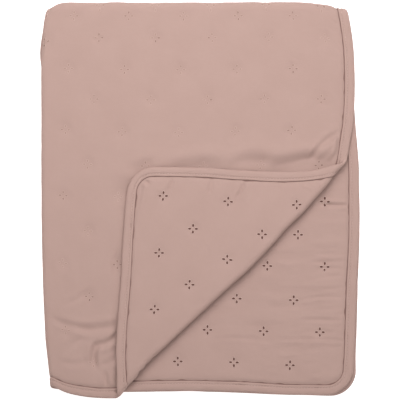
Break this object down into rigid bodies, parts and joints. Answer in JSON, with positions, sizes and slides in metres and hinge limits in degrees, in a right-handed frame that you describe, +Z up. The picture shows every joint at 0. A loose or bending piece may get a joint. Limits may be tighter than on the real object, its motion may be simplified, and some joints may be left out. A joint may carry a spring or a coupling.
{
  "type": "folded quilted throw",
  "caption": "Quilted cotton throw with a bound edge, folded in four with its top corner turned back diagonally.",
  "frame": {"origin": "middle of the underside, on the surface it rests on", "axes": "+X from the left fold to the bound side edges, +Y from the bound bottom edges to the top fold, +Z up through the layers"},
  "size_m": [0.4046, 0.502, 0.032],
  "materials": {
    "quilted_cotton": "soft matt dusty-pink cotton with stitched eyelets",
    "binding_cotton": "soft matt dusty-pink cotton strip"
  },
  "bodies": {
    "root": {"quilt": "quilted_cotton", "binding": "binding_cotton"}
  },
  "joints": []
}
